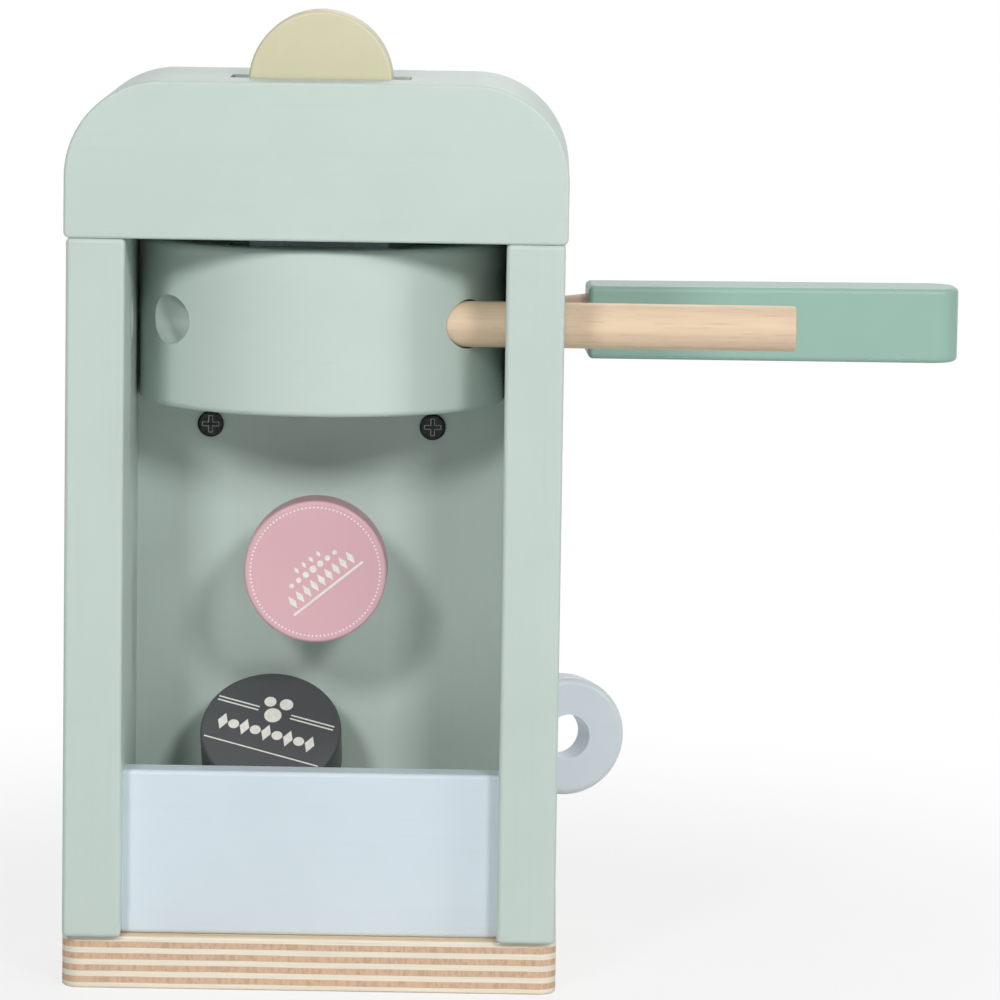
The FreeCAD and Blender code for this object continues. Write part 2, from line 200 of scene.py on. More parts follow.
class ShaderSketch(TreeSketch):
    """The node tree of a new material."""

    def __init__(self, name: str) -> None:
        """Make an empty material.

        Args:
            name: The material's name.
        """
        self.material = bpy.data.materials.new(name)
        self.material.use_nodes = True
        super().__init__(self.material.node_tree)
        self.place = self.node("ShaderNodeTexCoord").outputs["Object"]

    def fit(self, value: Any, low: float, high: float,
            to_low: float = 0.0, to_high: float = 1.0) -> Socket:
        """Return a value carried smoothly from one range to another and held at its ends."""
        inputs = {"Value": value, "From Min": low, "From Max": high,
                  "To Min": to_low, "To Max": to_high}
        made = self.node("ShaderNodeMapRange", inputs, interpolation_type="SMOOTHSTEP")
        return made.outputs["Result"]

    def blend(self, share: Any, first: Any, second: Any) -> Socket:
        """Return two colours mixed by a share."""
        inputs = {0: share, 6: first, 7: second}
        return self.node("ShaderNodeMix", inputs, data_type="RGBA").outputs[2]

    def vector(self, operation: str, first: Any, second: Any = None) -> bpy.types.Node:
        """Return a Vector Math node."""
        inputs = {0: first} if second is None else {0: first, 1: second}
        return self.node("ShaderNodeVectorMath", inputs, operation=operation)

    def noise(self, vector: Any, kind: Speckle) -> Socket:
        """Return a noise value from 0 to 1."""
        inputs = {"Vector": vector, "Scale": kind.scale,
                  "Detail": kind.detail, "Roughness": kind.rough}
        return self.node("ShaderNodeTexNoise", inputs).outputs[0]

    def speckle(self, kind: Speckle) -> Socket:
        """Return a noise of one size in every direction."""
        return self.noise(self.place, kind)

    def grain(self, fibres: Fibres, kind: Grain) -> Socket:
        """Return a noise drawn out along the fibres.

        Args:
            fibres: Direction of the fibres.
            kind: Its sizes.

        Returns:
            The noise value from 0 to 1.
        """
        scale = [kind.lengthways if part else kind.across for part in fibres.value]
        drawn = self.node("ShaderNodeMapping", {"Vector": self.place, "Scale": scale}).outputs[0]
        return self.noise(drawn, Speckle(1.0, kind.detail, kind.rough))

    def bumps(self, *layers: tuple[Any, float]) -> Socket:
        """Return a normal raised by several heights in turn.

        Args:
            layers: Each height from 0 to 1, and what a height of 1 stands for in metres.

        Returns:
            The normal.
        """
        normal = None
        for height, depth in layers:
            inputs = {"Height": height, "Distance": depth, "Strength": 1.0}
            if normal is not None:
                inputs["Normal"] = normal
            normal = self.node("ShaderNodeBump", inputs).outputs[0]
        return normal

    def off_middle(self, value: Socket) -> Socket:
        """Return how far the fraction of a value lies from one half."""
        return self.maths("ABSOLUTE", self.maths("SUBTRACT", self.maths("FRACT", value), 0.5))

    def edges(self, radius: float) -> Socket:
        """Return 1 on edges tighter than a radius and 0 on flat faces."""
        rounded = self.node("ShaderNodeBevel", {"Radius": radius}, samples=4).outputs[0]
        true = self.node("ShaderNodeNewGeometry").outputs["True Normal"]
        meet = self.vector("DOT_PRODUCT", rounded, true).outputs["Value"]
        flat, turned = 0.995, 0.80
        return self.fit(meet, flat, turned)

    def close(self, colour: Any, roughness: Any, normal: Any,
              **fixed: float) -> bpy.types.Material:
        """Join everything to a Principled shader and an output.

        Args:
            colour: Base colour or its socket.
            roughness: Roughness or its socket.
            normal: The socket of the normal.
            fixed: More inputs by name, with underscores for spaces.

        Returns:
            The finished material.
        """
        inputs = {"Base Color": colour, "Roughness": roughness, "Normal": normal}
        inputs.update({key.replace("_", " "): value for key, value in fixed.items()})
        shader = self.node("ShaderNodeBsdfPrincipled", inputs)
        self.node("ShaderNodeOutputMaterial", {"Surface": shader.outputs[0]})
        return self.material


@dataclass(frozen=True)
class Veil:
    """A tone of the finish's own colour that shows where a pattern is strong.

    Attributes:
        start: Value of the pattern where the tone starts to show.
        full: Value where it shows most.
        share: Its share there.
        tone: How light it is beside the finish's colour.
    """

    start: float
    full: float
    share: float
    tone: float

    def over(self, sketch: ShaderSketch, pattern: Any, under: Any, colour: Colour) -> Socket:
        """Lay this tone over a colour.

        Args:
            sketch: The material that it is built in.
            pattern: The pattern's socket.
            under: The colour below, or its socket.
            colour: The finish's display colour.

        Returns:
            The new colour.
        """
        share = sketch.fit(pattern, self.start, self.full, 0.0, self.share)
        return sketch.blend(share, under, linear(colour, self.tone))


class Finish(Protocol):
    """What a piece can be dressed in."""

    name: str

    def material(self) -> bpy.types.Material:
        """Return the finish as a material."""


class Assembly(Protocol):
    """A sub-assembly of the object."""

    def finishes(self) -> dict[str, Finish]:
        """Return the finish of each node."""


@dataclass(frozen=True)
class SprayedPaint:
    """Satin paint sprayed on sanded wood, whose fibres still show faintly through it, with paler
    rounded edges that are partly painted highlight and partly worn paint.

    Attributes:
        name: Name of the finish.
        colour: Display colour.
        fibres: Direction of the wood's fibres.
        roughness: Mean roughness.
        mottle: Share by which the colour drifts over the face.
        edge_highlight_and_wear: Share of the paler tone on the rounded edges, partly painted
            highlight and partly worn paint.
    """

    name: str
    colour: Colour
    fibres: Fibres = Fibres.UPRIGHT
    roughness: float = 0.42
    mottle: float = 0.02
    edge_highlight_and_wear: float = 0.16

    DRIFT = Speckle(22.0, 3.0, 0.55)
    FIBRE = Grain(900.0, 26.0, 3.0, 0.6)
    BAND = Grain(160.0, 9.0)
    SPRAY = Speckle(1500.0)
    FIBRE_TONE = Veil(0.52, 0.75, 0.10, 0.93)
    BAND_TONE = Veil(0.45, 0.80, 0.10, 0.96)
    EDGE_HIGHLIGHT_TONE = 1.10
    EDGE_HIGHLIGHT_RADIUS = 0.9 * MM
    NIBS_A_METRE = 260.0
    NIB_EDGE = (0.10, 0.02)
    GLOSS_DRIFT = (-0.04, 0.05)
    FIBRE_HEIGHT, SPRAY_HEIGHT, NIB_HEIGHT = 0.016 * MM, 0.005 * MM, 0.010 * MM

    def material(self) -> bpy.types.Material:
        """Return the paint as a material."""
        sketch = ShaderSketch(self.name)
        fibre = sketch.grain(self.fibres, self.FIBRE)
        spray = sketch.speckle(self.SPRAY)
        cells = sketch.node(
            "ShaderNodeTexVoronoi", {"Vector": sketch.place, "Scale": self.NIBS_A_METRE})
        nib = sketch.fit(cells.outputs["Distance"], *self.NIB_EDGE)
        colour = sketch.blend(
            sketch.fit(sketch.speckle(self.DRIFT), *MIDDLE),
            linear(self.colour, 1.0 - self.mottle / 2),
            linear(self.colour, 1.0 + self.mottle / 2))
        colour = self.FIBRE_TONE.over(sketch, fibre, colour, self.colour)
        band = sketch.grain(self.fibres, self.BAND)
        colour = self.BAND_TONE.over(sketch, band, colour, self.colour)
        # Paler rounded edges: partly a painted highlight standing in for the lamps' sheen on the
        # edges, partly worn paint.
        edge = sketch.maths("MULTIPLY", sketch.edges(self.EDGE_HIGHLIGHT_RADIUS), self.edge_highlight_and_wear)
        colour = sketch.blend(edge, colour, linear(self.colour, self.EDGE_HIGHLIGHT_TONE))
        drift = sketch.fit(spray, *MIDDLE, *self.GLOSS_DRIFT)
        rough = sketch.maths("ADD", drift, self.roughness)
        raised = sketch.bumps(
            (fibre, self.FIBRE_HEIGHT), (spray, self.SPRAY_HEIGHT), (nib, self.NIB_HEIGHT))
        return sketch.close(colour, rough, raised,
                            Specular_IOR_Level=0.42, Coat_Weight=0.06, Coat_Roughness=0.25)


@dataclass(frozen=True)
class PlyBoard:
    """Sanded birch plywood: veneer on its faces, and pale and brown plies round its edge.

    Attributes:
        name: Name of the finish.
        thickness: Thickness of the board.
        plies: Number of plies.
        pale: Colour of a ply seen along its fibres.
        brown: Colour of a ply seen on its end grain.
        veneer: Colour of the faces.
    """

    name: str
    thickness: float
    plies: int = 9
    pale: Colour = (244, 235, 217)
    brown: Colour = (216, 181, 151)
    veneer: Colour = (232, 208, 174)

    WANDER = Grain(34.0, 60.0, 3.0)
    WANDER_HEIGHT = 0.50 * MM
    FLECK = Grain(950.0, 300.0, 3.0, 0.65)
    STREAK = Grain(45.0, 2200.0, 3.0, 0.6)
    LEAF = Grain(420.0, 16.0, 4.0, 0.6)
    CLOUD = Grain(46.0, 12.0, 3.0)
    PALE_TONE = Veil(0.40, 0.75, 1.0, 0.96)
    BROWN_TONE = Veil(0.42, 0.66, 1.0, 0.93)
    BROWN_LIGHT = 1.03
    LEAF_TONE = Veil(0.35, 0.75, 1.0, 0.86)
    CLOUD_TONE = Veil(0.40, 0.70, 0.4, 1.06)
    PLY_TURN = (0.235, 0.265)
    GLUE_EDGE = (0.43, 0.495)
    GLUE_SHARE = 0.30
    GLUE_TONE = 0.80
    FACE_EDGE = (0.55, 0.85)
    FLECK_HEIGHT, GLUE_HEIGHT, LEAF_HEIGHT = 0.03 * MM, -0.05 * MM, 0.03 * MM

    def material(self) -> bpy.types.Material:
        """Return the plywood as a material."""
        sketch = ShaderSketch(self.name)
        wander = sketch.grain(Fibres.UPRIGHT, self.WANDER)
        wave = sketch.maths("MULTIPLY_ADD", wander, self.WANDER_HEIGHT, -self.WANDER_HEIGHT / 2)
        up = sketch.node("ShaderNodeSeparateXYZ", {0: sketch.place}).outputs["Z"]
        step = sketch.maths(
            "MULTIPLY", sketch.maths("ADD", up, wave), self.plies / self.thickness)
        turn = sketch.off_middle(sketch.maths("MULTIPLY_ADD", step, 0.5, 0.25))
        fleck = sketch.grain(Fibres.UPRIGHT, self.FLECK)
        streak = sketch.grain(Fibres.UPRIGHT, self.STREAK)
        pale = self.PALE_TONE.over(sketch, streak, linear(self.pale), self.pale)
        brown = self.BROWN_TONE.over(
            sketch, fleck, linear(self.brown, self.BROWN_LIGHT), self.brown)
        stack = sketch.blend(sketch.fit(turn, *self.PLY_TURN), pale, brown)
        glue = sketch.fit(sketch.off_middle(step), *self.GLUE_EDGE, 0.0, self.GLUE_SHARE)
        stack = sketch.blend(glue, stack, linear(self.brown, self.GLUE_TONE))
        leaf = sketch.grain(Fibres.ACROSS, self.LEAF)
        cloud = sketch.grain(Fibres.ACROSS, self.CLOUD)
        face = self.LEAF_TONE.over(sketch, leaf, linear(self.veneer), self.veneer)
        face = self.CLOUD_TONE.over(sketch, cloud, face, self.veneer)
        normal = sketch.node("ShaderNodeNewGeometry").outputs["Normal"]
        facing = sketch.node("ShaderNodeSeparateXYZ", {0: normal}).outputs["Z"]
        flat = sketch.fit(sketch.maths("ABSOLUTE", facing), *self.FACE_EDGE)
        colour = sketch.blend(flat, stack, face)
        raised = sketch.bumps(
            (fleck, self.FLECK_HEIGHT), (glue, self.GLUE_HEIGHT), (leaf, self.LEAF_HEIGHT))
        rough = sketch.fit(fleck, *MIDDLE, 0.52, 0.66)
        return sketch.close(colour, rough, raised, Specular_IOR_Level=0.35)


@dataclass(frozen=True)
class BareWood:
    """Sanded hardwood, clear oiled, with fine pores along its fibres and end grain on its ends.

    Attributes:
        name: Name of the finish.
        colour: Display colour between the pores.
        fibres: Direction of the fibres.
        end_centre: A point on the line round which the end grain's rings lie.
    """

    name: str
    colour: Colour = (231, 203, 171)
    fibres: Fibres = Fibres.ACROSS
    end_centre: tuple[float, float, float] = (0.0, -0.036, 0.168)

    PORES = Grain(1500.0, 90.0, 2.0, 0.6)
    STREAK = Grain(330.0, 10.0, 4.0, 0.6)
    CLOUD = Grain(70.0, 22.0, 3.0)
    LONG_LIGHT = 1.02
    STREAK_TONE = Veil(0.35, 0.72, 1.0, 0.95)
    PORE_TONE = Veil(0.56, 0.72, 0.45, 0.86)
    CLOUD_TONE = Veil(0.45, 0.75, 0.40, 0.93)
    END_LIGHT = 0.86
    RING_TONE = Veil(-0.6, 0.9, 0.6, 0.72)
    RING_WAVES = 5200.0
    END_EDGE = (0.80, 0.95)
    STREAK_HEIGHT, PORE_HEIGHT = 0.03 * MM, 0.05 * MM

    def rings(self, sketch: ShaderSketch) -> Socket:
        """Return the end grain's rings as a wave from -1 to 1."""
        away = sketch.vector("SUBTRACT", sketch.place, self.end_centre).outputs[0]
        across = [0.0 if part else 1.0 for part in self.fibres.value]
        flat = sketch.vector("MULTIPLY", away, across).outputs[0]
        reach = sketch.vector("LENGTH", flat).outputs["Value"]
        return sketch.maths("SINE", sketch.maths("MULTIPLY", reach, self.RING_WAVES))

    def material(self) -> bpy.types.Material:
        """Return the wood as a material."""
        sketch = ShaderSketch(self.name)
        pores = sketch.grain(self.fibres, self.PORES)
        streak = sketch.grain(self.fibres, self.STREAK)
        cloud = sketch.grain(self.fibres, self.CLOUD)
        long_grain = self.STREAK_TONE.over(
            sketch, streak, linear(self.colour, self.LONG_LIGHT), self.colour)
        long_grain = self.PORE_TONE.over(sketch, pores, long_grain, self.colour)
        long_grain = self.CLOUD_TONE.over(sketch, cloud, long_grain, self.colour)
        end_grain = self.RING_TONE.over(
            sketch, self.rings(sketch), linear(self.colour, self.END_LIGHT), self.colour)
        normal = sketch.node("ShaderNodeNewGeometry").outputs["Normal"]
        ends = sketch.vector("DOT_PRODUCT", normal, self.fibres.value).outputs["Value"]
        end = sketch.fit(sketch.maths("ABSOLUTE", ends), *self.END_EDGE)
        colour = sketch.blend(end, long_grain, end_grain)
        raised = sketch.bumps((streak, self.STREAK_HEIGHT), (pores, self.PORE_HEIGHT))
        rough = sketch.fit(pores, 0.4, 0.7, 0.46, 0.60)
        return sketch.close(colour, rough, raised, Specular_IOR_Level=0.4)


@dataclass(frozen=True)
class BlackedSteel:
    """Screw steel with a thin black oxide skin, rubbed on its edges, with a painted glint there.

    Attributes:
        name: Name of the finish.
        roughness: Roughness about which the skin varies.
        skin: Colour of the skin.
        dusty: Colour where it is dusty.
        rub_and_glint: Colour of the edges, rubbed bare steel paled into a painted glint.
    """

    name: str = "black_screw_steel"
    roughness: float = 0.34
    skin: Colour = (30, 32, 32)
    dusty: Colour = (56, 58, 58)
    rub_and_glint: Colour = (205, 206, 203)

    GRIME = Speckle(700.0, 3.0)
    RUB_AND_GLINT_RADIUS = 0.25 * MM
    RUB_AND_GLINT_SHARE = 0.8
    GRIME_HEIGHT = 0.02 * MM

    def material(self) -> bpy.types.Material:
        """Return the steel as a material."""
        sketch = ShaderSketch(self.name)
        grime = sketch.speckle(self.GRIME)
        # Pale edges: rubbed steel, raised into a painted glint on the screws' edges.
        edge = sketch.maths("MULTIPLY", sketch.edges(self.RUB_AND_GLINT_RADIUS), self.RUB_AND_GLINT_SHARE)
        dust = sketch.fit(grime, 0.35, 0.7)
        colour = sketch.blend(dust, linear(self.skin), linear(self.dusty))
        colour = sketch.blend(edge, colour, linear(self.rub_and_glint))
        rough = sketch.fit(grime, *MIDDLE, self.roughness - 0.08, self.roughness + 0.12)
        return sketch.close(
            colour, rough, sketch.bumps((grime, self.GRIME_HEIGHT)), Metallic=0.85)


@dataclass(frozen=True)
class PrintInk:
    """Pad-printed ink, a little uneven where the pad lifted.

    Attributes:
        name: Name of the finish.
        colour: Display colour.
    """

    name: str
    colour: Colour = (240, 238, 230)

    PATCH = Speckle(900.0, 3.0, 0.6)
    PATCH_TONE = Veil(0.35, 0.7, 1.0, 0.95)
    PATCH_HEIGHT = 0.01 * MM

    def material(self) -> bpy.types.Material:
        """Return the ink as a material."""
        sketch = ShaderSketch(self.name)
        patch = sketch.speckle(self.PATCH)
        colour = self.PATCH_TONE.over(sketch, patch, linear(self.colour), self.colour)
        rough = sketch.fit(patch, *MIDDLE, 0.42, 0.55)
        return sketch.close(colour, rough, sketch.bumps((patch, self.PATCH_HEIGHT)))


@dataclass
class DotRingTree:
    """Geometry Nodes tree that sets small round dots along a circle.

    Attributes:
        name: Name of the tree.
        sides: Number of sides of a dot.
        tree: The tree itself.
    """

    name: str = "dot_ring"
    sides: int = 10
    tree: bpy.types.NodeTree = field(init=False)

    def __post_init__(self) -> None:
        """Build the tree with inputs for the ring's sizes, the number of dots and the ink."""
        self.tree = bpy.data.node_groups.new(self.name, "GeometryNodeTree")
        face = self.tree.interface
        face.new_socket("Geometry", in_out="OUTPUT", socket_type="NodeSocketGeometry")
        for label in ("Ring Radius", "Dot Radius", "Ink Thickness"):
            face.new_socket(label, in_out="INPUT", socket_type="NodeSocketFloat")
        face.new_socket("Dots", in_out="INPUT", socket_type="NodeSocketInt")
        face.new_socket("Ink", in_out="INPUT", socket_type="NodeSocketMaterial")
        add, join = self.tree.nodes.new, self.tree.links.new
        given, out = add("NodeGroupInput"), add("NodeGroupOutput")
        circle, dot = add("GeometryNodeMeshCircle"), add("GeometryNodeMeshCylinder")
        spread = add("GeometryNodeInstanceOnPoints")
        realise = add("GeometryNodeRealizeInstances")
        paint = add("GeometryNodeSetMaterial")
        dot.inputs["Vertices"].default_value = self.sides
        join(given.outputs["Dots"], circle.inputs["Vertices"])
        join(given.outputs["Ring Radius"], circle.inputs["Radius"])
        join(given.outputs["Dot Radius"], dot.inputs["Radius"])
        join(given.outputs["Ink Thickness"], dot.inputs["Depth"])
        join(circle.outputs["Mesh"], spread.inputs["Points"])
        join(dot.outputs["Mesh"], spread.inputs["Instance"])
        join(spread.outputs["Instances"], realise.inputs[0])
        join(realise.outputs[0], paint.inputs["Geometry"])
        join(given.outputs["Ink"], paint.inputs["Material"])
        join(paint.outputs["Geometry"], out.inputs["Geometry"])

    def mesh(self, name: str, values: dict[str, Any]) -> bpy.types.Mesh:
        """Run the tree and return its result as a plain mesh.

        Args:
            name: Name of the mesh.
            values: The tree's inputs by name.

        Returns:
            The ring of dots round the origin, facing along Z.
        """
        carrier_name = name + "_carrier"
        carrier = bpy.data.objects.new(carrier_name, bpy.data.meshes.new(carrier_name))
        bpy.context.scene.collection.objects.link(carrier)
        modifier = carrier.modifiers.new("ring", "NODES")
        modifier.node_group = self.tree
        for item in self.tree.interface.items_tree:
            if item.item_type == "SOCKET" and item.in_out == "INPUT":
                modifier[item.identifier] = values[item.name]
        graph = bpy.context.evaluated_depsgraph_get()
        mesh = bpy.data.meshes.new_from_object(carrier.evaluated_get(graph))
        mesh.name = name
        carrier.modifiers.remove(modifier)
        bpy.data.objects.remove(carrier)
        return mesh


def disc(centre: Point, radius: float, sides: int = 28) -> Outline:
    """Return the corners of a round outline."""
    steps = [2 * math.pi * step / sides for step in range(sides)]
    return [(centre[0] + radius * math.cos(a), centre[1] + radius * math.sin(a)) for a in steps]


def lozenge(centre: Point, width: float, height: float) -> Outline:
    """Return the corners of an upright lozenge."""
    x, y = centre
    return [(x - width / 2, y), (x, y - height / 2), (x + width / 2, y), (x, y + height / 2)]


def bar(start: Point, end: Point, width: float, end_steps: int = 6) -> Outline:
    """Return the outline of a straight rule with round ends."""
    angle = math.atan2(end[1] - start[1], end[0] - start[0])
    half = width / 2
    outline = []
    for point, turn in ((end, -math.pi / 2), (start, math.pi / 2)):
        for step in range(end_steps + 1):
            a = angle + turn + math.pi * step / end_steps
            outline.append((point[0] + half * math.cos(a), point[1] + half * math.sin(a)))
    return outline


def lozenge_row() -> list[Outline]:
    """Return lozenges over a rule, with dots and small lozenges above, in millimetres."""
    pitch, rule_half, rule_y = 2.4, 11.3, -5.6
    large_y, dot_y, small_y = -2.7, 0.9, 3.3
    rows = [bar((-rule_half, rule_y), (rule_half, rule_y), 0.62)]
    rows += [lozenge((step * pitch, large_y), 1.7, 3.9) for step in range(-4, 5)]
    rows += [disc((step * pitch, dot_y), 0.95 - 0.11 * abs(step), 18) for step in range(-3, 4)]
    rows += [lozenge(((step + 0.5) * pitch, small_y), 1.1, 2.0) for step in range(-2, 2)]
    return rows


def dots_and_rules() -> list[Outline]:
    """Return a row of lozenges and dots between rules, with three discs, in millimetres."""
    pitch, row_x, row_y, double_width, low_y = 3.05, -0.8, -1.4, 0.42, -7.4
    rows = []
    for level in (6.05, 4.95):
        rows.append(bar((-16.5, level), (-5.4, level), double_width))
        rows.append(bar((3.8, level), (15.6, level), double_width))
    rows.append(bar((-16.0, low_y), (15.7, low_y), 0.38))
    rows += [disc((-1.0, 4.5), 2.3), disc((-3.1, 8.5), 1.6), disc((1.3, 8.9), 1.8)]
    for step in range(-4, 5):
        middle = (row_x + step * pitch, row_y)
        rows.append(disc(middle, 1.45) if step % 2 else lozenge(middle, 2.7, 5.4))
    return rows


def three_rules() -> list[Outline]:
    """Return three rules with a dot beyond each end, in millimetres."""
    levels, half, dot_x = (-4.5, 0.0, 4.5), 7.0, 10.0
    rows = [bar((-half, level), (half, level), 0.5) for level in levels]
    return rows + [disc((side * dot_x, level), 0.8) for side in (-1, 1) for level in levels]


DRAWINGS: dict[Motif, Callable[[], list[Outline]]] = {
    Motif.LOZENGE_ROW: lozenge_row,
    Motif.DOTS_AND_RULES: dots_and_rules,
    Motif.THREE_RULES: three_rules,
}


@dataclass
class PodPrint:
    """The printed face of one pod: a ring of dots and a plain motif.

    Attributes:
        node: The pod's node.
        body: The body that it moves with.
        lean: Degrees by which the pod leans back.
        turn: Degrees by which the print is turned on the face.
        motif: The pattern in the middle.
        ink: The ink.
        ring: Whether the ring of dots is there.
        thickness: Thickness of the pod.
        ring_radius: Radius of the ring of dots.
        dots: Number of dots in the ring.
        dot_radius: Radius of one dot.
        ink_proud: How far the ink stands above the face.
    """

    node: str
    body: str
    lean: float
    turn: float
    motif: Motif
    ink: PrintInk
    ring: bool = True
    thickness: float = 13.6 * MM
    ring_radius: float = 17.0 * MM
    dots: int = 102
    dot_radius: float = 0.27 * MM
    ink_proud: float = 0.03 * MM

    def slab(self) -> tuple[list[Vector], list[list[int]]]:
        """Return the motif as thin slabs of ink round the origin, facing along Z.

        Returns:
            The corners, and the faces as lists of their numbers.
        """
        corners: list[Vector] = []
        faces: list[list[int]] = []
        swing = Matrix.Rotation(math.radians(self.turn), 3, "Z")
        for outline in DRAWINGS[self.motif]():
            count, start = len(outline), len(corners)
            for level in (-self.ink_proud, self.ink_proud):
                corners += [swing @ Vector((x * MM, y * MM, level)) for x, y in outline]
            low = list(range(start, start + count))
            high = [number + count for number in low]
            faces += [high, low[::-1]]
            for i in range(count):
                after = (i + 1) % count
                faces.append([low[i], low[after], high[after], high[i]])
        return corners, faces

    def placed(self) -> Matrix:
        """Return where the middle of the printed face lies and how it faces."""
        low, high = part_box(self.node)
        tilt = Matrix.Rotation(math.radians(-self.lean), 4, "X")
        stand = Matrix.Rotation(math.radians(90.0), 4, "X")
        forward = Matrix.Translation((0.0, -self.thickness / 2, 0.0))
        return Matrix.Translation((low + high) / 2) @ tilt @ forward @ stand

    def meshes(self, ring_tree: DotRingTree) -> list[bpy.types.Mesh]:
        """Return the print's meshes round the origin, facing along Z."""
        ink = self.ink.material()
        made = []
        if self.ring:
            made.append(ring_tree.mesh(self.node + "_dots", {
                "Ring Radius": self.ring_radius, "Dot Radius": self.dot_radius,
                "Ink Thickness": 2 * self.ink_proud, "Dots": self.dots, "Ink": ink}))
        corners, faces = self.slab()
        motif = bpy.data.meshes.new(self.node + "_motif")
        motif.from_pydata(corners, [], faces)
        motif.materials.append(ink)
        return made + [motif]

    def build(self, ring_tree: DotRingTree) -> None:
        """Make the printed pieces and let them move with the pod.

        Args:
            ring_tree: The tree that makes the ring of dots.
        """
        for mesh in self.meshes(ring_tree):
            mesh.transform(self.placed())
            piece = bpy.data.objects.new(mesh.name, mesh)
            bpy.context.scene.collection.objects.link(piece)
            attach(piece, self.body)
            LOG.info("%s: %d faces of ink on %s", piece.name, len(mesh.polygons), self.body)


@dataclass
class Cabinet:
    """Base, body and what is fixed in it.

    Attributes:
        mint: Display colour of the painted body.
        blue: Display colour of the bin board.
        base_thickness: Thickness of the base board.
    """

    mint: Colour = (198, 213, 206)
    blue: Colour = (216, 228, 236)
    base_thickness: float = 14.0 * MM

    def finishes(self) -> dict[str, Finish]:
        """Return the finish of each node."""
        upright = SprayedPaint("mint_upright", self.mint, Fibres.UPRIGHT)
        across = SprayedPaint("mint_across", self.mint, Fibres.ACROSS)
        dowel = BareWood("dowel_wood")
        return {
            "base_board": PlyBoard("birch_ply", self.base_thickness),
            "side_panel_left": upright,
            "side_panel_right": upright,
            "divider_wall": upright,
            "top_block": across,
            "chute_block": across,
            "fork_plate": across,
            "brew_head": across,
            "bin_board": SprayedPaint("pale_blue_across", self.blue, Fibres.ACROSS),
            "wall_screws": BlackedSteel(),
            "base_screws": BlackedSteel("base_screw_steel", roughness=0.42),
            "top_dowels": dowel,
            "bin_dowels": dowel,
            "chute_dowels": dowel,
            "head_dowels": dowel,
        }


@dataclass
class Handles:
    """Release rod, and the hub, neck and grip of the filter holder.

    Attributes:
        rod: Display colour of the rod's wood.
        hub: Display colour of the hub's wood.
        neck: Display colour of the neck's wood, darker and redder than the hub's as painted shade.
        green: Display colour of the painted grip.
    """

    rod: Colour = (233, 206, 176)
    hub: Colour = (231, 203, 171)
    # Darker, redder wood for the neck is painted shade from the side panel's shadow.
    neck: Colour = (214, 180, 156)
    green: Colour = (152, 187, 173)

    def finishes(self) -> dict[str, Finish]:
        """Return the finish of each node."""
        return {
            "release_rod": BareWood("rod_wood", self.rod),
            "holder_hub": BareWood("hub_wood", self.hub, end_centre=(0.0, 0.027, 0.14)),
            "holder_neck": BareWood("neck_wood_painted_shade", self.neck, end_centre=(0.0, 0.030, 0.166)),
            "holder_grip": SprayedPaint("dark_green_grip", self.green, Fibres.ACROSS,
                                        roughness=0.40, mottle=0.015, edge_highlight_and_wear=0.12),
        }


@dataclass
class Cup:
    """Cup with a ring handle.

    Attributes:
        blue: Display colour of the paint, lighter than the bin board's same blue as painted light
            against the body's shadow on the cup.
        roughness: Roughness of the paint.
    """

    # Lighter than the bin board's blue: painted light that makes up for the body's shadow on the
    # cup.
    blue: Colour = (228, 238, 244)
    roughness: float = 0.34

    def finishes(self) -> dict[str, Finish]:
        """Return the finish of each node."""
        return {
            "cup_body": SprayedPaint(
                "pale_blue_cup_painted_light", self.blue, Fibres.UPRIGHT, self.roughness),
            "cup_handle": SprayedPaint(
                "pale_blue_ring_painted_light", self.blue, Fibres.ACROSS, self.roughness),
        }


